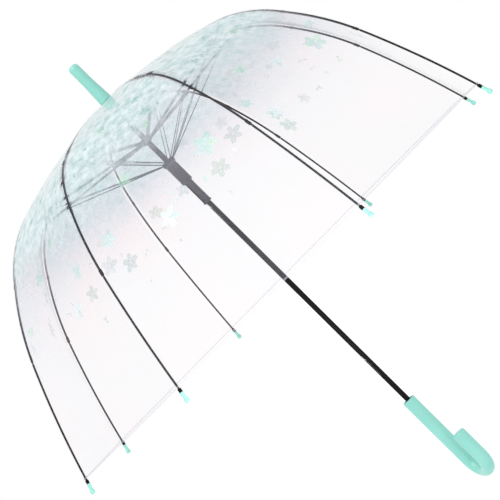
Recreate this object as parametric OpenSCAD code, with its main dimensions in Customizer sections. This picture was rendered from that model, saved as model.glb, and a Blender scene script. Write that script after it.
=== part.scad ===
// Clear bubble umbrella, drawn open. Millimetres, +Z from the handle to the tip.
// The origin is the centre of the straight part of the handle.
// All heights called "drop" are measured down from the top of the film.

/* [Canopy] */
// Height of the top of the film above the middle of the grip
apex_z = 662; // [640:1:700]
// Thickness of the clear film
film_t = 0.4; // [0.3:0.05:0.5]
// Distance from a rib's centre line to the inside of the film
film_gap = 2.3; // [2.2:0.05:2.6]
// Radius of the hole in the top of the film
film_hole_r = 4.8; // [4.6:0.1:5.5]

/* [Ribs] */
// Radius of the round rib rod
rib_r = 1.5; // [1.2:0.05:1.5]
// Arm of each rib from the crown ring to its bracket pin
arm = 206; // [204:1:207]
// Radius of the ring that the ribs hang on
ring_r = 7; // [7:0.1:7.2]
// Drop of the crown ring
crown_drop = 19.5; // [19.5:0.1:20]
// Drop of the stretcher ring, open
stretcher_drop = 79.5; // [79.2:0.1:80]
// Length of the rib tip beyond the end of the film
tip_len = 20; // [16:1:22]
// Radius of the bulb on the rib tip
tip_r = 3.5; // [2.8:0.1:3.8]

/* [Struts] */
// Drop of the strut ring, open
strut_drop = 122.5; // [122:0.1:123]
// Radius of the ring that the struts hang on
strut_ring_r = 9.5; // [9.4:0.1:9.6]
// Distance along the stretcher from its ring to the strut pin
strut_at = 176; // [170:1:180]
// Radius of the strut wire
wire_r = 0.6; // [0.5:0.05:0.7]

/* [Shaft and runners] */
// Radius of the shaft tube
shaft_r = 4; // [3.8:0.05:4]
// Wall of the shaft tube
shaft_wall = 0.6; // [0.5:0.05:0.8]
// Bore radius of both runners
runner_bore_r = 4.25; // [4.2:0.05:4.4]
// Radius of the long body of the lower runner
runner_body_r = 8.8; // [8.2:0.1:9.2]
// Radius of the narrow sleeve of the lower runner
sleeve_r = 6.2; // [5.8:0.05:6.4]
// Drop of the lower end of the sleeve, open
sleeve_end = 202.5; // [200:0.5:206]
// Direction of the two catches around the shaft, degrees
catch_dir = -112.5; // [-112.5:45:67.5]
// Drop of the shoulder of the top catch
top_catch_drop = 203.2; // [203:0.1:206]
// Drop of the shoulder of the bottom catch
bottom_catch_drop = 511; // [508:1:514]

/* [Handle] */
// Radius of the round handle
grip_r = 10; // [9:0.1:10.5]
// Length of the straight part of the handle
grip_len = 119; // [110:1:122]
// Distance between the centre lines of the grip and the hook leg
hook_gap = 46; // [40:1:54]
// Length of the hook leg above the bend, with its round end
hook_leg = 45; // [30:1:60]
// Direction of the hook around the shaft, degrees
hook_dir = -42; // [-90:1:90]

/* [Ferrule] */
// Height of the ferrule's end above the top of the film
ferrule_h = 72.8; // [60:1:80]
// Radius of the ferrule at its base
ferrule_base_r = 9.9; // [9.4:0.1:10.3]
// Radius of the straight end of the ferrule
ferrule_end_r = 8.2; // [7:0.1:8.8]

/* [Hidden] */

$fn = 48;
z0 = apex_z;

// Points of one rib in its own plane: [distance from the shaft, height above the top of the film]
C = [ring_r, -crown_drop];                       // crown ring
S = [ring_r, -stretcher_drop];                   // stretcher ring
half_gap = (stretcher_drop - crown_drop) / 2;
reach = sqrt(arm * arm - half_gap * half_gap);
Bp = [ring_r + reach, -(crown_drop + stretcher_drop) / 2]; // bracket pin
arm_up = asin(half_gap / arm);                   // rise of the stretcher, degrees
t1 = 20;                                         // rib slopes, degrees below level
t1b = 23;
t2 = 64;
t2b = 66.5;
t3 = 73;
K1 = Bp + 3.7 * [sin(t1), cos(t1)];              // rib centre over the bracket
K2 = [338.9, -192];                              // second bend
E = [399.9, -357.8];                             // end of the film on the rib
M1 = [65, -8.4];                                 // tie sleeve on the inner rib
M2 = [283, -103];                                // tie sleeve on the middle rib
R0 = C + 7 * [cos(28), sin(28)];                 // where the round rod starts
K1a = K1 - 4.5 * [cos(t1), -sin(t1)];
K1b = K1 + 4 * [cos(t1b), -sin(t1b)];
K2a = K2 - 4.5 * [cos(t2), -sin(t2)];
K2b = K2 + 4 * [cos(t2b), -sin(t2b)];
H2 = [strut_ring_r, -strut_drop];                // strut ring
P = S + strut_at * [cos(arm_up), sin(arm_up)];   // strut pin on the stretcher
strut_len = norm(P - H2);
strut_up = atan2(P[1] - H2[1], P[0] - H2[0]);

// Arc from p to q that bulges outward by sag at its middle
function out_n(p, q) = [-(q - p)[1], (q - p)[0]] / norm(q - p);
function arc_rad(p, q, sag) = (norm(q - p) * norm(q - p) / 4 + sag * sag) / (2 * sag);
function arc_mid(p, q, sag) = (p + q) / 2 - out_n(p, q) * (arc_rad(p, q, sag) - sag);
function arc_half(p, q, sag) = asin(norm(q - p) / 2 / arc_rad(p, q, sag));
function arc_from(p, q, sag) = let (c = arc_mid(p, q, sag)) atan2(q[1] - c[1], q[0] - c[0]);
// Point at share t of the arc, moved outward by off
function arc_pt(p, q, sag, t, off) = let (c = arc_mid(p, q, sag), a = arc_from(p, q, sag) + (1 - t) * 2 * arc_half(p, q, sag))
    c + (arc_rad(p, q, sag) + off) * [cos(a), sin(a)];

sag0 = 2.2;
sag1 = 3.4;
sag2 = 5.2;
sag3 = 3.2;
sag4 = 2.6;

// Radial section of the film, offset from the rib's centre line by off
function film_line(off, top) = concat(
    [[film_hole_r, top], [18, top - 0.7]],
    [for (t = [0, 0.2, 0.5, 0.8, 1]) arc_pt(M1, K1, sag1 + 0.2, t, off)],
    [for (t = [0.12, 0.38, 0.66, 0.95]) arc_pt(K1b, M2, sag2 + 0.2, t, off)],
    [for (t = [0.22, 0.5, 0.75, 0.98]) arc_pt(M2, K2, sag3 + 0.3, t, off)],
    [for (t = [0.33, 0.66, 0.99]) arc_pt(K2, E, sag4 + 0.1, t, off)]);

module at(p, drop_angle) { translate([p[0], 0, z0 + p[1]]) rotate([0, drop_angle, 0]) children(); }
module around(k) { rotate([0, 0, 45 * (k - 1)]) children(); }
// Round rod along an arc
module arc_rod(p, q, sag, r) {
    c = arc_mid(p, q, sag);
    translate([c[0], 0, z0 + c[1]]) rotate([90, 0, 0]) rotate([0, 0, arc_from(p, q, sag)])
        rotate_extrude(angle = 2 * arc_half(p, q, sag), $fn = 96) translate([arc_rad(p, q, sag), 0]) circle(r = r, $fn = 24);
}
// Cylinder across the rib's plane, centred on it
module cross(r, w) { rotate([90, 0, 0]) cylinder(r = r, h = w, center = true, $fn = 24); }
module along(r, x0, x1) { translate([x0, 0, 0]) rotate([0, 90, 0]) cylinder(r = r, h = x1 - x0, $fn = 24); }
module box(x, y, z) { translate([x[0], y[0], z[0]]) cube([x[1] - x[0], y[1] - y[0], z[1] - z[0]]); }
module ring(r, w) { rotate_extrude($fn = 96) translate([r, 0]) circle(r = w, $fn = 20); }

// ---- shaft, ferrule, crown ----
module shaft() color([0.03, 0.03, 0.035]) difference() {
    translate([0, 0, -38]) cylinder(r = shaft_r, h = z0 + 38 + 40);
    translate([0, 0, -39]) cylinder(r = shaft_r - shaft_wall, h = z0 + 38 + 42);
    for (d = [top_catch_drop - 1.2, bottom_catch_drop - 1.2])
        rotate([0, 0, catch_dir]) box([0, 6], [-0.9, 0.9], [z0 - d - 46, z0 - d]);
}
module ferrule_cap() color([0.6, 0.9, 0.84]) translate([0, 0, z0 + 1.5]) difference() {
    rotate_extrude() polygon([[0, 0], [ferrule_base_r - 0.5, 0], [ferrule_base_r, 0.5], [ferrule_base_r, 3],
        [ferrule_end_r, ferrule_h - 33.5], [ferrule_end_r, ferrule_h - 7.5], [ferrule_end_r - 0.5, ferrule_h - 5.2],
        [ferrule_end_r - 1.8, ferrule_h - 3.1], [ferrule_end_r - 4, ferrule_h - 1.9], [0, ferrule_h - 1.5]]);
    translate([0, 0, -1]) cylinder(r = shaft_r + 0.02, h = 40.5);
}
module canopy_washer() color([0.12, 0.14, 0.15]) translate([0, 0, z0 + 0.15]) difference() {
    cylinder(r = 10.5, h = 1.3);
    translate([0, 0, -1]) cylinder(r = shaft_r + 0.02, h = 4);
}
module crown() color([0.6, 0.9, 0.84]) difference() {
    translate([0, 0, z0 - 23.5]) rotate_extrude() polygon([[0, 0], [9.3, 0], [10, 0.7], [10, 15], [8.2, 21.4], [0, 21.4]]);
    translate([0, 0, z0 - 25]) cylinder(r = shaft_r + 0.02, h = 30);
    for (k = [1:8]) around(k) box([5.1, 12], [-1.15, 1.15], [z0 - 25, z0 - 13.5]);
    translate([0, 0, z0 - crown_drop - 0.5]) difference() { cylinder(r = 12, h = 1); translate([0, 0, -1]) cylinder(r = 6.5, h = 3); }
}
module crown_wire() color([0.7, 0.7, 0.72]) translate([0, 0, z0 - crown_drop]) ring(ring_r, 0.4);

// ---- film ----
module canopy() color([0.85, 0.93, 0.94, 0.35]) translate([0, 0, z0]) rotate_extrude($fn = 8)
    polygon(concat(film_line(film_gap + film_t, 0), [for (i = [17:-1:0]) film_line(film_gap, -film_t)[i]]));

// ---- runners ----
module catch_way(lo, hi) rotate([0, 0, catch_dir]) box([0, 6.9], [-1.3, 1.3], [lo, hi]);
module upper_runner() color([0.1, 0.11, 0.12]) difference() {
    translate([0, 0, z0 - stretcher_drop - 3.2]) rotate_extrude() polygon([[0, 0], [7.7, 0], [8.2, 0.5], [8.2, 7.2], [6.6, 9.8], [0, 9.8]]);
    translate([0, 0, z0 - stretcher_drop - 10]) cylinder(r = runner_bore_r, h = 30);
    for (k = [1:8]) around(k) box([5.2, 12], [-1.15, 1.15], [z0 - stretcher_drop - 1.9, z0 - stretcher_drop + 12]);
    translate([0, 0, z0 - stretcher_drop - 0.5]) difference() { cylinder(r = 12, h = 1); translate([0, 0, -1]) cylinder(r = 6.5, h = 3); }
    catch_way(z0 - stretcher_drop - 10, z0 - stretcher_drop + 12);
}
module upper_runner_wire() color([0.7, 0.7, 0.72]) translate([0, 0, z0 - stretcher_drop]) ring(ring_r, 0.4);
module lower_runner() color([0.06, 0.065, 0.07]) {
    difference() {
        translate([0, 0, z0]) rotate_extrude() polygon([[0, 2.6 - strut_drop], [10, 2.6 - strut_drop], [10.5, 2.1 - strut_drop],
            [10.5, -3.2 - strut_drop], [9.9, -4 - strut_drop], [runner_body_r, -5 - strut_drop], [runner_body_r, -161], [sleeve_r, -163],
            [sleeve_r, 3 - sleeve_end], [6.8, 2.4 - sleeve_end], [6.8, 0.4 - sleeve_end], [6.4, -sleeve_end], [0, -sleeve_end]]);
        translate([0, 0, z0 - sleeve_end - 5]) cylinder(r = runner_bore_r, h = 120);
        for (k = [1:8]) around(k) box([7.9, 12], [-2.2, 2.2], [z0 - strut_drop - 1.7, z0 - strut_drop + 12]);
        translate([0, 0, z0 - strut_drop - 0.5]) difference() { cylinder(r = 13, h = 1); translate([0, 0, -1]) cylinder(r = 9, h = 3); }
        for (h = [130:6:154]) translate([0, 0, z0 - h - 1]) difference() { cylinder(r = 12, h = 1.2); translate([0, 0, -1]) cylinder(r = runner_body_r - 0.35, h = 4); }
        catch_way(z0 - sleeve_end - 5, z0 - strut_drop + 12);
    }
    translate([0, 0, z0 - strut_drop]) ring(strut_ring_r, 0.4);
}

// ---- catches: sprung levers in the slots of the shaft ----
module lever(d) rotate([0, 0, catch_dir]) translate([0, 0, z0 - d]) {
    rotate([90, 0, 0]) linear_extrude(height = 1.2, center = true)
        polygon([[1.2, -2.2], [3, -2.2], [3, -1.4], [6.3, -1.4], [6.3, -3.4], [3.6, -9], [3.2, -12], [3.2, -41], [3, -43.6], [1.2, -43.6]]);
    translate([1.7, 0, -42]) cross(0.75, 4.4);
}
module top_catch() color([0.8, 0.8, 0.82]) lever(top_catch_drop - 1.4);
module bottom_catch() color([0.8, 0.8, 0.82]) lever(bottom_catch_drop - 1.4);

// ---- handle ----
module handle() color([0.6, 0.9, 0.84]) difference() {
    rotate([0, 0, hook_dir]) union() {
        translate([0, 0, -grip_len / 2]) cylinder(r = grip_r, h = grip_len);
        translate([0, 0, grip_len / 2]) cylinder(r1 = grip_r, r2 = grip_r - 0.7, h = 1);
        translate([hook_gap / 2, 0, -grip_len / 2]) rotate([90, 0, 0]) rotate([0, 0, 180])
            rotate_extrude(angle = 180, $fn = 96) translate([hook_gap / 2, 0]) circle(r = grip_r);
        translate([hook_gap, 0, -grip_len / 2]) rotate_extrude() {
            square([grip_r, hook_leg - 4]);
            square([grip_r - 4, hook_leg]);
            translate([grip_r - 4, hook_leg - 4]) intersection() { circle(r = 4); square(4); }
        }
    }
    translate([0, 0, grip_len / 2 - 9]) cylinder(r = grip_r - 1.9, h = 12);
    translate([0, 0, -40]) cylinder(r = shaft_r + 0.02, h = 120);
}

// ---- ribs: each long springy rod is three stiff lengths with a bend between them ----
module rib_inner(k) color([0.02, 0.02, 0.025]) around(k) difference() {
    union() {
        at(C, -28) { cross(1.5, 1.8); box([0, 8.5], [-0.9, 0.9], [-1.1, 1.1]); }
        arc_rod(R0, M1, sag0, rib_r);
        at(M1, 9) along(1.9, -2.5, 2.5);
        arc_rod(M1, K1a, sag1, rib_r);
        at(K1, t1) {
            difference() {
                box([-8.5, 1], [-2.6, 2.6], [-1.6, 1.5]);
                box([-2.2, 2], [-1.7, 1.7], [-3, 3]);
            }
            for (s = [-1, 1]) translate([0, s * 2.15, 0]) {
                cross(1.6, 0.9);
                translate([0, 0, -3.7]) cross(1.9, 0.9);
                box([-1.9, 1.6], [-0.45, 0.45], [-3.7, -0.2]);
            }
        }
    }
    at(C, 0) cross(0.6, 6);
    at(K1, t1) { cross(0.86, 8); translate([0, 0, -3.7]) cross(0.86, 8); }
}
module rib_middle(k) color([0.02, 0.02, 0.025]) around(k) difference() {
    union() {
        at(K1, t1b) { cross(1.5, 3.2); cross(0.8, 5.2); along(1.15, 0, 6); }
        arc_rod(K1b, M2, sag2, rib_r);
        at(M2, 52) along(1.9, -2.5, 2.5);
        arc_rod(M2, K2a, sag3, rib_r);
        at(K2, t2) {
            difference() {
                box([-8, 1], [-1.65, 1.65], [-1.5, 1.3]);
                box([-2, 2], [-1.0, 1.0], [-3, 3]);
            }
            for (s = [-1, 1]) translate([0, s * 1.325, 0]) cross(1.3, 0.65);
        }
    }
    at(K2, t2) cross(0.76, 8);
}
module rib_outer(k) color([0.02, 0.02, 0.025]) around(k) {
    at(K2, t2b) { cross(1.3, 1.8); cross(0.7, 3.2); box([0, 6], [-0.85, 0.85], [-0.9, 0.9]); }
    arc_rod(K2b, E, sag4, rib_r - 0.1);
    at(E, t3) { along(rib_r - 0.15, 0.6, 9); along(2.4, -0.9, 4.4); }
}
module rib_tip(k) color([0.6, 0.9, 0.84]) around(k) at(E, t3) difference() {
    rotate([0, 90, 0]) rotate_extrude($fn = 32) polygon([[0, 4.6], [2.2, 4.6], [2.5, 5.2], [2.2, 12], [2.5, 13.4], [tip_r - 0.4, tip_len - 5.2],
        [tip_r, tip_len - 3.4], [tip_r - 0.3, tip_len - 1.7], [tip_r - 1.3, tip_len - 0.5], [0, tip_len]]);
    along(rib_r - 0.08, 0, 9.4);
}

// ---- stretchers and struts ----
module stretcher(k) color([0.13, 0.14, 0.15]) around(k) at(S, -arm_up) difference() {
    union() {
        cross(1.5, 1.8);
        box([0, 9], [-0.9, 0.9], [-1.2, 1.2]);
        difference() {
            box([7, arm - 4.6], [-2, 2], [-1.5, 1.5]);
            box([10, arm - 8], [-1.4, 1.4], [-3, 0.9]);
        }
        box([arm - 6, arm], [-1.5, 1.5], [-1.1, 1.1]);
        translate([arm, 0, 0]) { cross(1.5, 3.2); cross(0.8, 5.2); }
    }
    cross(0.6, 6);
    translate([strut_at, 0, 0]) cross(0.76, 8);
}
module strut(k) color([0.09, 0.09, 0.1]) around(k) at(H2, -strut_up) {
    difference() {
        union() {
            cross(1.2, 2.6);
            for (s = [-1, 1]) {
                hull() { translate([1, s * 0.9, 0]) sphere(r = wire_r, $fn = 16); translate([8, s * 2.9, 0]) sphere(r = wire_r, $fn = 16); }
                translate([8, s * 2.9, 0]) along(wire_r, 0, strut_len - 8);
            }
        }
        cross(0.6, 6);
    }
    translate([strut_len, 0, 0]) { cross(0.7, 7.4); for (s = [-1, 1]) translate([0, s * 2.9, 0]) cross(1.15, 1.3); }
}

shaft();
ferrule_cap();
canopy_washer();
crown();
crown_wire();
canopy();
upper_runner();
upper_runner_wire();
lower_runner();
top_catch();
bottom_catch();
handle();
rib_inner(1);  // rib_inner_1
rib_inner(2);  // rib_inner_2
rib_inner(3);  // rib_inner_3
rib_inner(4);  // rib_inner_4
rib_inner(5);  // rib_inner_5
rib_inner(6);  // rib_inner_6
rib_inner(7);  // rib_inner_7
rib_inner(8);  // rib_inner_8
rib_middle(1);  // rib_middle_1
rib_middle(2);  // rib_middle_2
rib_middle(3);  // rib_middle_3
rib_middle(4);  // rib_middle_4
rib_middle(5);  // rib_middle_5
rib_middle(6);  // rib_middle_6
rib_middle(7);  // rib_middle_7
rib_middle(8);  // rib_middle_8
rib_outer(1);  // rib_outer_1
rib_outer(2);  // rib_outer_2
rib_outer(3);  // rib_outer_3
rib_outer(4);  // rib_outer_4
rib_outer(5);  // rib_outer_5
rib_outer(6);  // rib_outer_6
rib_outer(7);  // rib_outer_7
rib_outer(8);  // rib_outer_8
rib_tip(1);  // rib_tip_1
rib_tip(2);  // rib_tip_2
rib_tip(3);  // rib_tip_3
rib_tip(4);  // rib_tip_4
rib_tip(5);  // rib_tip_5
rib_tip(6);  // rib_tip_6
rib_tip(7);  // rib_tip_7
rib_tip(8);  // rib_tip_8
stretcher(1);  // stretcher_1
stretcher(2);  // stretcher_2
stretcher(3);  // stretcher_3
stretcher(4);  // stretcher_4
stretcher(5);  // stretcher_5
stretcher(6);  // stretcher_6
stretcher(7);  // stretcher_7
stretcher(8);  // stretcher_8
strut(1);  // strut_1
strut(2);  // strut_2
strut(3);  // strut_3
strut(4);  // strut_4
strut(5);  // strut_5
strut(6);  // strut_6
strut(7);  // strut_7
strut(8);  // strut_8
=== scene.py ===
import bpy, math, random
from mathutils import Matrix, Vector, noise


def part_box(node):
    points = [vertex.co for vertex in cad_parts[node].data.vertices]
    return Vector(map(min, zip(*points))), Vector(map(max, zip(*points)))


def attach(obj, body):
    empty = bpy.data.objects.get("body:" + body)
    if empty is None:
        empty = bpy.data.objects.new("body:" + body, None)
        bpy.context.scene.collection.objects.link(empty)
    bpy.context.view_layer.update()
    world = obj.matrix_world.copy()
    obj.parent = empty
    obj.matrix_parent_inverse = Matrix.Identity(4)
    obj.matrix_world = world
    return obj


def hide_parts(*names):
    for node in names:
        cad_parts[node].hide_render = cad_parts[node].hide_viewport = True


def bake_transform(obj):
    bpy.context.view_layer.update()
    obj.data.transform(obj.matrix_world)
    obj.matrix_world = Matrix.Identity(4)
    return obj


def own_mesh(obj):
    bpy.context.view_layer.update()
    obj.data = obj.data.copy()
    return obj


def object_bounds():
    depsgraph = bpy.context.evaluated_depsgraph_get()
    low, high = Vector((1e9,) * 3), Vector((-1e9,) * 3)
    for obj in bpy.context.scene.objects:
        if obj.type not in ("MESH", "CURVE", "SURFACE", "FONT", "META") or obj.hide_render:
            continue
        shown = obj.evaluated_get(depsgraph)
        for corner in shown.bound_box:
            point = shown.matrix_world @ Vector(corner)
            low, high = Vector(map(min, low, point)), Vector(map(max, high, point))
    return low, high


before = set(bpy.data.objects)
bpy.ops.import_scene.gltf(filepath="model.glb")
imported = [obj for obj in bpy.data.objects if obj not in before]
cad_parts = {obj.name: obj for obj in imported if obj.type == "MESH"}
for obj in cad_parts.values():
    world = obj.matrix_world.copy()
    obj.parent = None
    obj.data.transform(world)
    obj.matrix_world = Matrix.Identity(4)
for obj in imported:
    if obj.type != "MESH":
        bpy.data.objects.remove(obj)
CAD_LO, CAD_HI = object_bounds()

# ---------------------------------------------------------------- numbers of the design
Z0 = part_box("canopy")[1][2]            # top of the film
MM = 0.001
RING, ARM = 7.0, 206.0
C = (7.0, -19.5)
HALF = 30.0
REACH = math.sqrt(ARM * ARM - HALF * HALF)
B = (7.0 + REACH, -49.5)


def d2(a):
    return math.radians(a)


K1 = (B[0] + 3.7 * math.sin(d2(20)), B[1] + 3.7 * math.cos(d2(20)))
K2 = (338.9, -192.0)
E = (399.9, -357.8)
M1 = (65.0, -8.4)
M2 = (283.0, -103.0)
R0 = (C[0] + 7 * math.cos(d2(28)), C[1] + 7 * math.sin(d2(28)))


def go(p, ang, d):
    """A point d mm from p along a direction ang degrees below level."""
    return (p[0] + d * math.cos(d2(ang)), p[1] - d * math.sin(d2(ang)))


K1a, K1b = go(K1, 20, -4.5), go(K1, 23, 4)
K2a, K2b = go(K2, 64, -4.5), go(K2, 66.5, 4)


def arc(p, q, sag, n, off=0.0, t0=0.0, t1=1.0):
    """Points of the arc from p to q that bulges outward by sag, moved outward by off."""
    dx, dz = q[0] - p[0], q[1] - p[1]
    c = math.hypot(dx, dz)
    nx, nz = -dz / c, dx / c
    R = (c * c / 4 + sag * sag) / (2 * sag)
    mx, mz = (p[0] + q[0]) / 2 - nx * (R - sag), (p[1] + q[1]) / 2 - nz * (R - sag)
    h = math.asin(c / 2 / R)
    a1 = math.atan2(q[1] - mz, q[0] - mx)
    out = []
    for i in range(n):
        t = t0 + (t1 - t0) * i / (n - 1)
        a = a1 + (1 - t) * 2 * h
        out.append((mx + (R + off) * math.cos(a), mz + (R + off) * math.sin(a)))
    return out


def smooth(pts, rounds):
    pts = [tuple(p) for p in pts]
    for _ in range(rounds):
        new = [pts[0]]
        for i in range(1, len(pts) - 1):
            new.append(tuple(0.25 * pts[i - 1][j] + 0.5 * pts[i][j] + 0.25 * pts[i + 1][j] for j in range(2)))
        pts = new + [pts[-1]]
    return pts


def resample(pts, step):
    """Evenly spaced points on a polyline, with the arc length of each."""
    cum = [0.0]
    for a, b in zip(pts, pts[1:]):
        cum.append(cum[-1] + math.dist(a, b))
    n = max(2, int(round(cum[-1] / step)) + 1)
    out, j = [], 0
    for i in range(n):
        s = cum[-1] * i / (n - 1)
        while j < len(pts) - 2 and cum[j + 1] < s:
            j += 1
        t = (s - cum[j]) / max(cum[j + 1] - cum[j], 1e-9)
        out.append(tuple(pts[j][m] + (pts[j + 1][m] - pts[j][m]) * t for m in range(len(pts[0]))))
    return out, cum[-1]


# the springy rod of one rib, from the crown to past the hem
rod_line = arc(R0, M1, 2.2, 10)[:-1] + arc(M1, K1a, 3.4, 22)[:-1] + [K1a, K1, K1b] + arc(K1b, M2, 5.2, 14)[1:-1] \
    + arc(M2, K2a, 3.2, 14)[:-1] + [K2a, K2, K2b] + arc(K2b, E, 2.6, 22)[1:] + [go(E, 73, 3), go(E, 73, 7)]
rod_line, ROD_LEN = resample(smooth(rod_line, 3), 4.0)
rod_line = smooth(rod_line, 3)

# the film's line over a rib
FO = 2.45
film_line = [(5.0, -0.05), (18, -0.9), (34, -2.4)] + arc(M1, K1, 3.6, 26, FO, 0.03, 1.0)[:-1] + arc(K1b, M2, 5.4, 16, FO, 0.02, 1.0)[:-1] \
    + arc(M2, K2, 3.5, 16, FO, 0.05, 1.0)[:-1] + arc(K2, E, 2.7, 26, FO, 0.03, 0.99)
film_line, _ = resample(film_line, 3.0)
film_line = smooth(film_line, 6)
film_line, FILM_LEN = resample(film_line, 1.0)
NS = len(film_line)


def film_rz(s):
    """Radius and height of the film over a rib, s mm from the top hole."""
    f = min(max(s, 0.0), FILM_LEN) * (NS - 1) / FILM_LEN
    i = min(int(f), NS - 2)
    t = f - i
    a, b = film_line[i], film_line[i + 1]
    r, z = a[0] + (b[0] - a[0]) * t, a[1] + (b[1] - a[1]) * t
    if s > FILM_LEN:
        dr, dz = b[0] - a[0], b[1] - a[1]
        d = math.hypot(dr, dz)
        r, z = r + dr / d * (s - FILM_LEN), z + dz / d * (s - FILM_LEN)
    return r, z


def s_near(p):
    return min(range(NS), key=lambda i: math.dist(film_line[i], p)) * FILM_LEN / (NS - 1)


SK1, SK2 = s_near(K1), s_near(K2)
SK0 = min(range(NS), key=lambda i: abs(film_line[i][0] - 100)) * FILM_LEN / (NS - 1)


def rib_angle(k):
    return math.radians(45 * (k - 1))


def gore_point(g, s, lam):
    """Point of the film in gore g, between rib g and rib g + 1, s from the top, lam across from 0 to 1."""
    r, z = film_rz(s)
    a, b = rib_angle(g), rib_angle(g + 1)
    x = r * (math.cos(a) * (1 - lam) + math.cos(b) * lam)
    y = r * (math.sin(a) * (1 - lam) + math.sin(b) * lam)
    p = Vector((x * MM, y * MM, Z0 + z * MM))
    # the film is drawn tight between the ribs and dips a little in the middle of each gore
    w = max(0.0, 4 * lam * (1 - lam))
    up = min(1.0, s / 120.0)
    n = gore_normal(g, s)
    ripple = 0.9 * noise.noise(Vector((s / 46.0, lam * 3.1 + g * 7.3, g * 1.9))) + 0.35 * noise.noise(Vector((s / 15.0, lam * 7 + g * 3.1, 4.7)))
    return p + n * (MM * up * (w ** 0.8) * (ripple - 0.6))


def gore_normal(g, s):
    r0, z0 = film_rz(max(0.0, s - 2))
    r1, z1 = film_rz(min(FILM_LEN, s + 2))
    m = rib_angle(g) + math.radians(22.5)
    k = math.cos(math.radians(22.5))
    t = Vector(((r1 - r0) * k, 0, z1 - z0)).normalized()
    n = Vector((-t.z, 0, t.x))
    if n.z < 0 and n.x < 0:
        n = -n
    return Vector((n.x * math.cos(m), n.x * math.sin(m), n.z)).normalized()


# ---------------------------------------------------------------- materials
def new_mat(name):
    m = bpy.data.materials.new(name)
    m.use_nodes = True
    nt = m.node_tree
    bsdf = next(n for n in nt.nodes if n.type == "BSDF_PRINCIPLED")
    return m, nt, bsdf


def add(nt, kind, **kw):
    n = nt.nodes.new(kind)
    for k, v in kw.items():
        setattr(n, k, v)
    return n


def ramp(nt, src, stops):
    r = add(nt, "ShaderNodeValToRGB")
    e = r.color_ramp.elements
    e[0].position, e[0].color = stops[0][0], (*stops[0][1], 1)
    e[1].position, e[1].color = stops[-1][0], (*stops[-1][1], 1)
    for pos, col in stops[1:-1]:
        x = e.new(pos)
        x.color = (*col, 1)
    nt.links.new(src, r.inputs["Fac"])
    return r.outputs["Color"]


def maths(nt, op, a, b=None, clamp=False):
    n = add(nt, "ShaderNodeMath", operation=op, use_clamp=clamp)
    for i, v in enumerate((a, b)):
        if v is None:
            continue
        if isinstance(v, (int, float)):
            n.inputs[i].default_value = v
        else:
            nt.links.new(v, n.inputs[i])
    return n.outputs[0]


def coords(nt):
    return add(nt, "ShaderNodeTexCoord").outputs["Object"]


def noise_tex(nt, vec, scale, detail=3.0, rough=0.55):
    n = add(nt, "ShaderNodeTexNoise")
    n.inputs["Scale"].default_value = scale
    n.inputs["Detail"].default_value = detail
    n.inputs["Roughness"].default_value = rough
    nt.links.new(vec, n.inputs["Vector"])
    return n.outputs["Fac"]


def bump(nt, bsdf, height, strength, distance):
    b = add(nt, "ShaderNodeBump")
    b.inputs["Strength"].default_value = strength
    b.inputs["Distance"].default_value = distance
    nt.links.new(height, b.inputs["Height"])
    nt.links.new(b.outputs["Normal"], bsdf.inputs["Normal"])


def plastic(name, lo, hi, rough, grain_scale, grain, coat=0.0, spec=0.5):
    """Moulded plastic or paint: slight colour drift, fine grain in roughness and bump."""
    m, nt, b = new_mat(name)
    v = coords(nt)
    big = noise_tex(nt, v, 22.0, 2.0)
    nt.links.new(ramp(nt, big, [(0.3, lo), (0.7, hi)]), b.inputs["Base Color"])
    fine = noise_tex(nt, v, grain_scale, 4.0)
    r = maths(nt, "MULTIPLY_ADD", fine, 0.12)
    r.node.inputs[2].default_value = rough - 0.06
    nt.links.new(r, b.inputs["Roughness"])
    bump(nt, b, fine, grain, 0.0004)
    b.inputs["Specular IOR Level"].default_value = spec
    b.inputs["Coat Weight"].default_value = coat
    b.inputs["Coat Roughness"].default_value = 0.12
    return m


def metal(name, lo, hi, rough, stretch=(1, 1, 0.04), scale=900.0):
    """Drawn or brushed metal with fine lines along the length."""
    m, nt, b = new_mat(name)
    v = coords(nt)
    mp = add(nt, "ShaderNodeMapping")
    mp.inputs["Scale"].default_value = stretch
    nt.links.new(v, mp.inputs["Vector"])
    f = noise_tex(nt, mp.outputs["Vector"], scale, 2.0)
    nt.links.new(ramp(nt, f, [(0.3, lo), (0.7, hi)]), b.inputs["Base Color"])
    b.inputs["Metallic"].default_value = 1.0
    r = maths(nt, "MULTIPLY_ADD", f, 0.15)
    r.node.inputs[2].default_value = rough
    nt.links.new(r, b.inputs["Roughness"])
    bump(nt, b, f, 0.15, 0.0002)
    return m


mint = plastic("mint_plastic", (0.22, 0.57, 0.49), (0.255, 0.61, 0.53), 0.32, 420.0, 0.05, coat=0.3)
black_steel = plastic("black_steel", (0.0025, 0.0025, 0.003), (0.005, 0.005, 0.006), 0.30, 1500.0, 0.05, spec=0.12)
black_rod = plastic("black_rod", (0.0025, 0.0025, 0.003), (0.006, 0.006, 0.007), 0.38, 1800.0, 0.08, spec=0.10)
runner_mat = plastic("runner_plastic", (0.018, 0.022, 0.030), (0.045, 0.052, 0.064), 0.42, 900.0, 0.16, spec=0.3)
channel_mat = plastic("dark_channel", (0.02, 0.028, 0.036), (0.045, 0.056, 0.07), 0.38, 1200.0, 0.08, spec=0.25)
wire_mat = plastic("dark_wire", (0.02, 0.023, 0.03), (0.04, 0.045, 0.055), 0.36, 1600.0, 0.08, spec=0.25)
washer_mat = plastic("dark_washer", (0.02, 0.05, 0.05), (0.035, 0.075, 0.07), 0.45, 900.0, 0.12)
steel = metal("catch_steel", (0.55, 0.55, 0.57), (0.80, 0.80, 0.82), 0.18)
wire_steel = metal("tie_wire", (0.45, 0.45, 0.47), (0.65, 0.65, 0.67), 0.22, (1, 1, 1), 1500.0)


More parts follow.
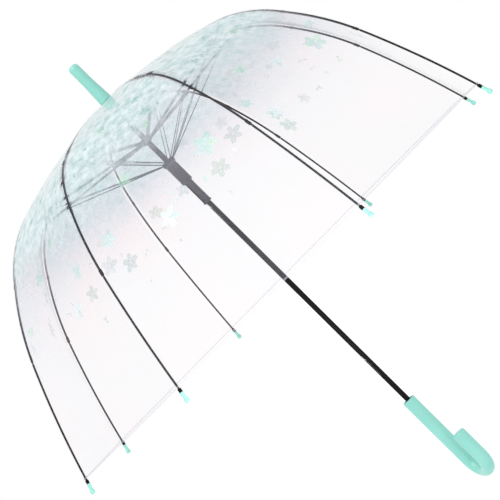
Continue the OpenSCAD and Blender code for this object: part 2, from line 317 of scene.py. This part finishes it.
def film_material():
    """Clear soft film: a faint lavender to rose tint, cloudier towards the top, denser where it is seen edge on."""
    m, nt, b = new_mat("clear_film")
    v = coords(nt)
    haze = add(nt, "ShaderNodeAttribute", attribute_name="haze").outputs["Fac"]
    cloud = noise_tex(nt, v, 9.0, 3.0)
    fleck = noise_tex(nt, v, 85.0, 4.0, 0.65)
    tint = ramp(nt, cloud, [(0.35, (0.46, 0.47, 0.54)), (0.52, (0.57, 0.51, 0.57)), (0.7, (0.70, 0.47, 0.50))])
    teal = ramp(nt, fleck, [(0.36, (0.37, 0.49, 0.49)), (0.5, (0.48, 0.58, 0.585)), (0.64, (0.60, 0.67, 0.675))])
    mix = add(nt, "ShaderNodeMix", data_type="RGBA")
    nt.links.new(haze, mix.inputs["Factor"])
    nt.links.new(tint, mix.inputs["A"])
    nt.links.new(teal, mix.inputs["B"])
    nt.links.new(mix.outputs["Result"], b.inputs["Base Color"])
    spread = add(nt, "ShaderNodeAttribute", attribute_name="spread").outputs["Fac"]
    lw = add(nt, "ShaderNodeLayerWeight")
    lw.inputs["Blend"].default_value = 0.35
    edge = maths(nt, "POWER", lw.outputs["Facing"], 2.2)
    edge = maths(nt, "MULTIPLY", maths(nt, "MULTIPLY", edge, 0.24), spread)
    base = maths(nt, "MULTIPLY_ADD", cloud, 0.04)
    base.node.inputs[2].default_value = 0.09
    base = maths(nt, "MULTIPLY", base, spread)
    dab = maths(nt, "MULTIPLY_ADD", fleck, 0.9, clamp=True)
    dab.node.inputs[2].default_value = 0.42
    hz = maths(nt, "MULTIPLY", haze, dab)
    a = maths(nt, "ADD", maths(nt, "ADD", base, hz), edge, clamp=True)
    nt.links.new(a, b.inputs["Alpha"])
    b.inputs["Roughness"].default_value = 0.13
    b.inputs["IOR"].default_value = 1.5
    b.inputs["Specular IOR Level"].default_value = 0.35
    bump(nt, b, noise_tex(nt, v, 26.0, 2.0), 0.12, 0.002)
    return m


def print_material(name, lo, hi, alpha, mottle=0.2):
    """Thin ink on the film: slightly mottled, a little see-through."""
    m, nt, b = new_mat(name)
    v = coords(nt)
    f = noise_tex(nt, v, 140.0, 3.0)
    nt.links.new(ramp(nt, f, [(0.35, lo), (0.65, hi)]), b.inputs["Base Color"])
    a = maths(nt, "MULTIPLY_ADD", f, mottle)
    a.node.inputs[2].default_value = alpha - mottle / 2
    nt.links.new(a, b.inputs["Alpha"])
    b.inputs["Roughness"].default_value = 0.4
    return m


film_mat = film_material()
weld_mat = print_material("film_weld", (0.36, 0.37, 0.45), (0.46, 0.46, 0.53), 0.15)
seam_mat = print_material("film_seam", (0.30, 0.31, 0.38), (0.40, 0.40, 0.47), 0.035, 0.02)
ink = [
    print_material("ink_mint", (0.28, 0.54, 0.47), (0.40, 0.62, 0.56), 0.46),
    print_material("ink_green", (0.34, 0.60, 0.42), (0.46, 0.68, 0.52), 0.38),
    print_material("ink_blue", (0.34, 0.53, 0.55), (0.46, 0.62, 0.64), 0.42),
    print_material("ink_pale", (0.50, 0.66, 0.68), (0.64, 0.76, 0.78), 0.42),
    print_material("ink_rose", (0.72, 0.58, 0.62), (0.80, 0.68, 0.70), 0.34),
]

for n in ("ferrule_cap", "crown", "handle", *[f"rib_tip_{k}" for k in range(1, 9)]):
    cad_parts[n].data.materials.clear()
    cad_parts[n].data.materials.append(mint)

# ---------------------------------------------------------------- mesh helpers
def mesh_object(name, verts, faces, mats, normals=None, face_mats=None):
    me = bpy.data.meshes.new(name)
    me.from_pydata([tuple(v) for v in verts], [], faces)
    me.update()
    me.polygons.foreach_set("use_smooth", [True] * len(me.polygons))
    for m in mats:
        me.materials.append(m)
    if face_mats:
        me.polygons.foreach_set("material_index", face_mats)
    if normals is not None:
        me.normals_split_custom_set_from_vertices([tuple(n) for n in normals])
    ob = bpy.data.objects.new(name, me)
    bpy.context.scene.collection.objects.link(ob)
    return ob


def rib_frame_point(k, r, z, lat=0.0):
    a = rib_angle(k)
    return Vector(((r * math.cos(a) - lat * math.sin(a)) * MM, (r * math.sin(a) + lat * math.cos(a)) * MM, Z0 + z * MM))


def patch_normal(g, s, lam):
    ds, dl = 1.5, 0.01
    s0, s1 = max(0.0, s - ds), min(FILM_LEN, s + ds)
    l0, l1 = lam - dl, lam + dl
    u = gore_point(g, s1, lam) - gore_point(g, s0, lam)
    v = gore_point(g, s, l1) - gore_point(g, s, l0)
    n = v.cross(u)
    if n.dot(gore_normal(g, s)) < 0:
        n = -n
    return n.normalized()


def fold_with(ob, k, seg):
    """The film rides on one length of rib k."""
    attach(ob, f"rib_{seg}_{k}")
    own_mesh(ob)
    return ob


CAP_S = 27.0                                     # the flat top of the film, round the crown
SEGS = (("inner", CAP_S, SK1), ("middle", SK1, SK2), ("outer", SK2, FILM_LEN))


def wrap(k):
    return (k - 1) % 8 + 1


# ---------------------------------------------------------------- the printed flowers
rng = random.Random(20817)


def gore_width(s):
    return 2 * film_rz(s)[0] * math.sin(math.radians(22.5))


def petal(R, W, notch, rows=7, cols=4):
    """Grid of one petal that points along +x: points and quads."""
    pts, quads = [], []
    for i in range(rows + 1):
        u = i / rows
        half = W * R * math.sin(math.pi * (0.10 + 0.80 * u ** 0.85)) ** 0.85
        for j in range(cols + 1):
            v = -1 + 2 * j / cols
            x = R * (0.10 + u * (0.90 - notch * (1 - abs(v)) ** 1.3 * u ** 4 - 0.05 * v * v * u ** 3))
            pts.append((x, v * half))
    for i in range(rows):
        for j in range(cols):
            a = i * (cols + 1) + j
            quads.append((a, a + cols + 1, a + cols + 2, a + 1))
    return pts, quads


def blossom(R, turn, petals=5, W=0.30, notch=0.16, drop=()):
    """Petals round a small open centre: list of (points, quads, petal number)."""
    out = []
    for i in range(petals):
        if i in drop:
            continue
        a = turn + 2 * math.pi * i / petals
        pts, quads = petal(R * (1 + 0.05 * math.sin(3 * i + turn)), W, notch)
        ca, sa = math.cos(a), math.sin(a)
        out.append(([(x * ca - y * sa, x * sa + y * ca) for x, y in pts], quads, i))
    return out


def disc(R, n=10):
    pts = [(0.0, 0.0)] + [(R * math.cos(2 * math.pi * i / n), R * math.sin(2 * math.pi * i / n)) for i in range(n)]
    return [(pts, [(0, i + 1, (i + 1) % n + 1) for i in range(n)], 0)]


class Print:
    """Collects the printed shapes of all gores, cut up by the piece of film that carries them."""

    def __init__(self):
        self.parts = {}

    def stamp(self, g, s, x, shapes, inks, lift):
        """Shapes in mm about the point s from the top and x across from the middle of gore g."""
        for pts, quads, n in shapes:
            spots = []
            for du, dx in pts:
                ss = s + du
                w = gore_width(max(ss, 5.0))
                spots.append((ss, 0.5 + (x + dx) / w))
            ink_no = inks[n % len(inks)]
            for q in quads:
                cs = sum(spots[i][0] for i in q) / len(q)
                cl = sum(spots[i][1] for i in q) / len(q)
                if not (0.012 < cl < 0.988) or cs < CAP_S + 2 or cs > FILM_LEN - 8:
                    continue
                seg = "inner" if cs < SK1 else "middle" if cs < SK2 else "outer"
                half = 0 if cl < 0.5 else 1
                part = self.parts.setdefault((g, half, seg), {"v": [], "n": [], "f": [], "m": [], "at": {}})
                idx = []
                for i in q:
                    key = (id(pts), i)
                    if key not in part["at"]:
                        ss, ll = spots[i]
                        nn = patch_normal(g, min(ss, FILM_LEN), ll)
                        part["at"][key] = len(part["v"])
                        part["v"].append(gore_point(g, ss, ll) + nn * lift)
                        part["n"].append(nn)
                    idx.append(part["at"][key])
                part["f"].append(tuple(idx))
                part["m"].append(ink_no)
        self.keepalive = getattr(self, "keepalive", [])
        self.keepalive.append(shapes)


prints = Print()
placed = {g: [] for g in range(1, 9)}


def free(g, s, x, R):
    return all(math.hypot(s - a, x - b) > (R + c) * 0.92 for a, b, c in placed[g])


def scatter(g, count, r_lo, r_hi, s_lo, s_hi, bias, kind):
    done = tries = 0
    while done < count and tries < count * 30:
        tries += 1
        s = s_lo + (s_hi - s_lo) * rng.random() ** bias
        R = r_lo + (r_hi - r_lo) * rng.random()
        w = gore_width(s) / 2 - R - 4
        if w < 0:
            continue
        x = rng.uniform(-w, w)
        if not free(g, s, x, R):
            continue
        placed[g].append((s, x, R))
        kind(g, s, x, R)
        done += 1


def put_blossom(inks=None, lift=0.00028):
    def kind(g, s, x, R):
        mix = inks or rng.choice([(0, 0, 2), (0, 2, 0, 2), (1, 1, 1), (0, 1, 0), (2, 2, 3), (3, 3, 2), (4, 3, 4)])
        prints.stamp(g, s, x, blossom(R, rng.uniform(0, 6.28), W=rng.uniform(0.25, 0.31)), mix, lift)
        if R > 9:
            prints.stamp(g, s, x, disc(R * 0.07), (1,), lift)
    return kind


def put_petals(g, s, x, R):
    n = rng.choice((1, 2, 2, 3))
    keep = rng.sample(range(5), n)
    prints.stamp(g, s, x, blossom(R, rng.uniform(0, 6.28), W=0.28, drop=[i for i in range(5) if i not in keep]), (rng.choice((0, 2, 3, 3, 1)),), 0.00028)


def put_dot(g, s, x, R):
    prints.stamp(g, s, x, disc(R, 7), (rng.choice((0, 1, 2, 3, 2)),), 0.00026)


# the larger flowers of three gores stand at chosen places: distance from the top, distance from the gore's middle, size, inks
MINT_MIX, GREEN_MIX, PALE_MIX, SOFT_MIX = (0, 2, 0, 1), (1, 1, 0), (3, 3, 2), (2, 0, 2)
CHOSEN = {
    6: ((379, 79, 13, SOFT_MIX), (418, 44, 15, PALE_MIX), (337, -25, 12, MINT_MIX), (382, -95, 10, GREEN_MIX), (325, 65, 10, PALE_MIX)),
    7: ((388, 73, 18, MINT_MIX), (337, -32, 12, GREEN_MIX), (385, -95, 12, SOFT_MIX), (424, -20, 15, PALE_MIX), (277, 46, 9, SOFT_MIX), (229, -13, 8, GREEN_MIX)),
    8: ((385, 65, 18, MINT_MIX), (340, -46, 11, GREEN_MIX), (370, -4, 11, PALE_MIX), (424, -92, 12, PALE_MIX), (388, -103, 10, SOFT_MIX), (356, 96, 9, SOFT_MIX)),
}
for g in range(1, 9):
    for s, x, R, mix in CHOSEN.get(g, ()):
        placed[g].append((s, x, R))
        put_blossom(mix)(g, s, x, R)
    if g not in CHOSEN:
        scatter(g, 2, 16, 19, 250, 420, 1.0, put_blossom())
        scatter(g, 5, 10.5, 14.5, 160, 420, 0.9, put_blossom())
    scatter(g, 13, 5.5, 8, 36, 330, 1.3, put_blossom())
    scatter(g, 14, 5, 8, 45, 430, 1.0, put_petals)
    scatter(g, 30, 0.8, 1.8, 34, 330, 1.4, put_dot)


# ---------------------------------------------------------------- film, hem and welds
def film_patch(g, half, seg, s0, s1):
    k = g if half == 0 else wrap(g + 1)
    lam0, lam1 = (0.0, 0.5) if half == 0 else (0.5, 1.0)
    ns = max(6, int(round((s1 - s0) / 5.0)))
    nl = 10
    verts, norms, faces, haze, spread = [], [], [], [], []
    for i in range(ns + 1):
        s = s0 + (s1 - s0) * i / ns
        for j in range(nl + 1):
            off = 0.5 * ((j if half == 0 else nl - j) / nl) ** 1.7
            lam = off if half == 0 else 1 - off
            verts.append(gore_point(g, s, lam))
            norms.append(patch_normal(g, s, lam))
            haze.append(film_haze(s) * clear_strip(off * gore_width(s), s))
            spread.append(clear_strip(off * gore_width(s), s) * (1.0 - 0.35 * min(1.0, max(0.0, (s - 400) / 90))))
    for i in range(ns):
        for j in range(nl):
            a = i * (nl + 1) + j
            faces.append((a, a + nl + 1, a + nl + 2, a + 1))
    ob = mesh_object(f"film_{seg}_{k}_{'left' if half == 0 else 'right'}", verts, faces, [film_mat], norms)
    at = ob.data.attributes.new("haze", "FLOAT", "POINT")
    at.data.foreach_set("value", haze)
    at = ob.data.attributes.new("spread", "FLOAT", "POINT")
    at.data.foreach_set("value", spread)
    side = 1 if half == 0 else -1
    fold_with(ob, k, seg)
    return ob, k, side


def film_haze(s):
    """Cover of the white and teal print: full round the top, gone two thirds of the way down."""
    stops = ((0, 1.0), (245, 1.0), (282, 0.88), (308, 0.56), (336, 0.26), (372, 0.09), (420, 0.0))
    for (a, u), (b, v) in zip(stops, stops[1:]):
        if s <= b:
            return u + (v - u) * max(0.0, s - a) / (b - a)
    return 0.0


def clear_strip(d, s):
    """The print stops short of each rib, except near the top, where it runs over them."""
    t = min(1.0, max(0.0, (d - 3.0) / 5.0))
    low = 0.04 + 0.46 * min(1.0, max(0.0, (200 - s) / 80))
    return low + (1 - low) * t * t * (3 - 2 * t)


def band(name, g, half, seg, s0, s1, lift0, lift1, n, mat):
    """A thin closed strip on the film between s0 and s1, across one half gore."""
    k = g if half == 0 else wrap(g + 1)
    lam0, lam1 = (0.0, 0.5) if half == 0 else (0.5, 1.0)
    verts, faces = [], []
    for j in range(n + 1):
        lam = lam0 + (lam1 - lam0) * j / n
        for s, up in ((s0, lift0), (s1, lift0), (s1, lift1), (s0, lift1)):
            verts.append(gore_point(g, s, lam) + patch_normal(g, min(s, FILM_LEN), lam) * up * MM)
    for j in range(n):
        a, b = 4 * j, 4 * j + 4
        for m in range(4):
            m2 = (m + 1) % 4
            faces.append((a + m, b + m, b + m2, a + m2))
    faces.append((3, 2, 1, 0))
    e = 4 * n
    faces.append((e, e + 1, e + 2, e + 3))
    ob = mesh_object(name, verts, faces, [mat])
    ob.data.polygons.foreach_set("use_smooth", [False] * len(ob.data.polygons))
    fold_with(ob, k, seg)
    return ob


def seam(k, seg, s0, s1):
    """The welded double edge of two gores, over one length of rib k."""
    ns = max(6, int(round((s1 - s0) / 6.0)))
    verts, faces = [], []
    gl, gr = wrap(k - 1), k
    for i in range(ns + 1):
        s = s0 + (s1 - s0) * i / ns
        w = 2.2 / gore_width(max(s, 20))
        row = [(gl, 1 - w), (gl, 1 - w / 2), (k, 0.0), (gr, w / 2), (gr, w)]
        for g, lam in row:
            if lam == 0.0:
                r, z = film_rz(s)
                up = rib_normal(k, s)
                p = rib_frame_point(k, r, z) + up * 0.40 * MM
            else:
                p = gore_point(g, s, lam) + gore_normal(g, s) * 0.40 * MM
            verts.append(p)
        for g, lam in reversed(row):
            if lam == 0.0:
                r, z = film_rz(s)
                p = rib_frame_point(k, r, z) + rib_normal(k, s) * 0.10 * MM
            else:
                p = gore_point(g, s, lam) + gore_normal(g, s) * 0.10 * MM
            verts.append(p)
    for i in range(ns):
        a, b = 10 * i, 10 * i + 10
        for m in range(10):
            m2 = (m + 1) % 10
            faces.append((a + m, b + m, b + m2, a + m2))
    faces.append(tuple(range(9, -1, -1)))
    e = 10 * ns
    faces.append(tuple(range(e, e + 10)))
    ob = mesh_object(f"seam_{seg}_{k}", verts, faces, [seam_mat])
    ob.data.polygons.foreach_set("use_smooth", [False] * len(ob.data.polygons))
    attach(ob, f"rib_{seg}_{k}")
    return ob


def rib_normal(k, s):
    r0, z0 = film_rz(max(0.0, s - 2))
    r1, z1 = film_rz(min(FILM_LEN, s + 2))
    a = rib_angle(k)
    n = Vector((-(z1 - z0) * math.cos(a), -(z1 - z0) * math.sin(a), r1 - r0))
    return n.normalized()


for g in range(1, 9):
    for half in (0, 1):
        k = g if half == 0 else wrap(g + 1)
        for seg, s0, s1 in SEGS:
            ob, k, side = film_patch(g, half, seg, s0, s1)
            part = prints.parts.get((g, half, seg))
            if part and part["f"]:
                pr = mesh_object(f"print_{seg}_{k}_{'left' if half == 0 else 'right'}", part["v"], part["f"], ink, part["n"], part["m"])
                fold_with(pr, k, seg)
            if seg == "outer":
                band(f"hem_{k}_{'left' if half == 0 else 'right'}", g, half, seg, FILM_LEN - 2.2, FILM_LEN + 0.15, -0.35, 0.25, 12, weld_mat)

for k in range(1, 9):
    for seg, s0, s1 in SEGS:
        seam(k, seg, s0 + 4.0 if seg == "middle" else s0, s1 if seg != "outer" else FILM_LEN - 0.5)

# the top of the film, eight wedges round the crown
for k in range(1, 9):
    gl, gr = wrap(k - 1), k
    ns, nl = 10, 6
    verts, norms, faces = [], [], []
    for i in range(ns + 1):
        s = CAP_S * i / ns
        for j in range(-nl, nl + 1):
            g, lam = (gl, 1 + 0.5 * j / nl) if j < 0 else (gr, 0.5 * j / nl)
            verts.append(gore_point(g, s, lam))
            norms.append(patch_normal(g, s, lam) if j else rib_normal(k, s))
    n1 = 2 * nl + 1
    for i in range(ns):
        for j in range(2 * nl):
            a = i * n1 + j
            faces.append((a, a + n1, a + n1 + 1, a + 1))
    ob = mesh_object(f"film_top_{k}", verts, faces, [film_mat], norms)
    at = ob.data.attributes.new("haze", "FLOAT", "POINT")
    at.data.foreach_set("value", [0.8] * len(verts))
    at = ob.data.attributes.new("spread", "FLOAT", "POINT")
    at.data.foreach_set("value", [1.0] * len(verts))
    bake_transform(ob)

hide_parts("canopy")

# ---------------------------------------------------------------- finishes of the parts that stay as designed
def finish_node(name, mat):
    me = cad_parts[name].data
    me.materials.clear()
    me.materials.append(mat)
    me.polygons.foreach_set("material_index", [0] * len(me.polygons))


for n in ("ferrule_cap", "crown", "handle"):
    finish_node(n, mint)
for k in range(1, 9):
    finish_node(f"rib_tip_{k}", mint)
    for seg in ("inner", "middle", "outer"):
        finish_node(f"rib_{seg}_{k}", black_rod)
    finish_node(f"stretcher_{k}", channel_mat)
    finish_node(f"strut_{k}", wire_mat)
finish_node("shaft", black_steel)
finish_node("canopy_washer", washer_mat)
finish_node("upper_runner", runner_mat)
finish_node("lower_runner", runner_mat)
finish_node("upper_runner_wire", wire_steel)
finish_node("crown_wire", wire_steel)
finish_node("top_catch", steel)
finish_node("bottom_catch", steel)

# ---------------------------------------------------------------- floor, light, camera
def stage_material():
    m, nt, b = new_mat("pale_floor")
    f = noise_tex(nt, coords(nt), 3.0, 2.0)
    nt.links.new(ramp(nt, f, [(0.3, (0.93, 0.93, 0.935)), (0.7, (0.95, 0.95, 0.95))]), b.inputs["Base Color"])
    b.inputs["Roughness"].default_value = 0.9
    b.inputs["Specular IOR Level"].default_value = 0.1
    return m


FLOOR = CAD_LO[2] - 0.35
floor = mesh_object("floor", [(-30, -30, FLOOR), (30, -30, FLOOR), (30, 30, FLOOR), (-30, 30, FLOOR)], [(0, 1, 2, 3)], [stage_material()])

world = bpy.data.worlds.new("studio")
world.use_nodes = True
bg = next(n for n in world.node_tree.nodes if n.type == "BACKGROUND")
bg.inputs["Color"].default_value = (1.0, 1.0, 1.0, 1)
bg.inputs["Strength"].default_value = 1.0
back = world.node_tree.nodes.new("ShaderNodeBackground")
back.inputs["Color"].default_value = (0.98, 0.99, 1.0, 1)
back.inputs["Strength"].default_value = 0.92
path = world.node_tree.nodes.new("ShaderNodeLightPath")
pick = world.node_tree.nodes.new("ShaderNodeMixShader")
out = next(n for n in world.node_tree.nodes if n.type == "OUTPUT_WORLD")
world.node_tree.links.new(path.outputs["Is Camera Ray"], pick.inputs[0])
world.node_tree.links.new(back.outputs[0], pick.inputs[1])
world.node_tree.links.new(bg.outputs[0], pick.inputs[2])
world.node_tree.links.new(pick.outputs[0], out.inputs["Surface"])
bpy.context.scene.world = world


def area_light(name, loc, target, size, energy, color=(1, 1, 1)):
    d = bpy.data.lights.new(name, "AREA")
    d.shape = "SQUARE"
    d.size = size
    d.energy = energy
    d.color = color
    o = bpy.data.objects.new(name, d)
    o.location = loc
    o.rotation_euler = (Vector(target) - Vector(loc)).to_track_quat("-Z", "Y").to_euler()
    bpy.context.scene.collection.objects.link(o)
    return o


sun_data = bpy.data.lights.new("softbox", "SUN")
sun_data.energy = 1.35
sun_data.angle = math.radians(50)
sun = bpy.data.objects.new("softbox", sun_data)
sun.rotation_euler = Vector((-0.10, 0.62, -0.78)).to_track_quat("-Z", "Y").to_euler()
bpy.context.scene.collection.objects.link(sun)
area_light("key", (-0.8, -2.6, 2.6), (0, 0, 0.4), 1.4, 8)
# a low fill that reaches the inside of the dome through its open rim
fill = area_light("fill", (0.30, -0.62, 0.09), (0.30, -0.62, 1.0), 0.5, 5)
fill.visible_camera = False

# the camera: a long lens, level with the middle of the shaft, rolled so the umbrella leans
turn = Matrix.Rotation(0.4756641, 3, "Z")
look = Matrix.Rotation(0.7904157, 3, "Z") @ Matrix.Rotation(-0.0215057, 3, "X") @ Matrix.Rotation(-0.0031715, 3, "Y") @ Matrix(((1, 0, 0), (0, 0, 1), (0, -1, 0)))
cam_data = bpy.data.cameras.new("camera")
cam = bpy.data.objects.new("camera", cam_data)
bpy.context.scene.collection.objects.link(cam)
cam_data.sensor_width = 36.0
cam_data.lens = 36.0 * 1547.2856 / 500.0
cam_data.clip_end = 200.0
cam.matrix_world = Matrix.Translation(turn @ Vector((0, -2.19935, Z0 - 0.3403))) @ (turn @ look.transposed()).to_4x4()
bpy.context.scene.camera = cam
bpy.context.scene.view_settings.view_transform = "Standard"
